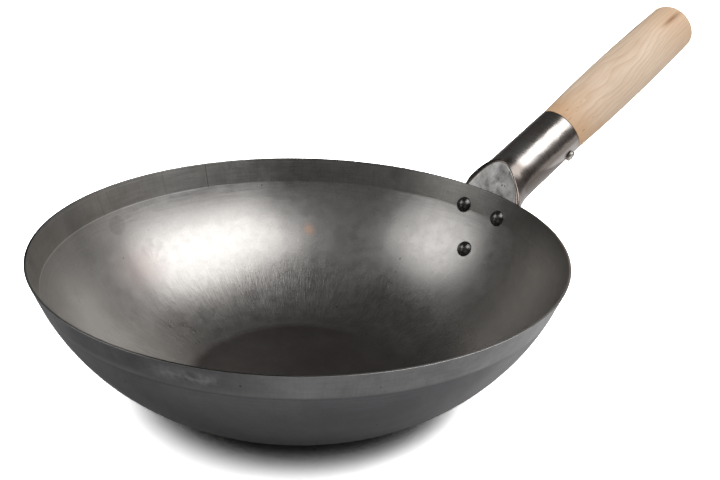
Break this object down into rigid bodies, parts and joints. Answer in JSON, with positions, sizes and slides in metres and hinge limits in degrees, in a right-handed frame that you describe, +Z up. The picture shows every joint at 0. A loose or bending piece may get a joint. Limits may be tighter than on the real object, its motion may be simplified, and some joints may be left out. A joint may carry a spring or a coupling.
{
  "type": "carbon steel wok",
  "caption": "Flat-bottomed bare steel wok with a curved bowl, a riveted rolled-sheet socket and a turned wooden grip held by a screw.",
  "frame": {"origin": "middle of the flat base's underside", "axes": "+Z up out of the bowl, +X towards the side that the handle leaves"},
  "size_m": [0.5722, 0.3558, 0.2223],
  "materials": {
    "bowl_steel": "bare carbon steel, ground inside and out",
    "socket_steel": "satin, brushed round the tube, unpolished on the arched face",
    "grip_wood": "smooth unvarnished turned wood",
    "rivet_steel": "dark and glossy",
    "screw_steel": "satin plated"
  },
  "bodies": {
    "root": {"bowl": "bowl_steel", "handle_socket": "socket_steel", "wood_handle": "grip_wood", "rivet_left": "rivet_steel", "rivet_right": "rivet_steel", "rivet_lower": "rivet_steel", "socket_screw": "screw_steel"}
  },
  "joints": []
}
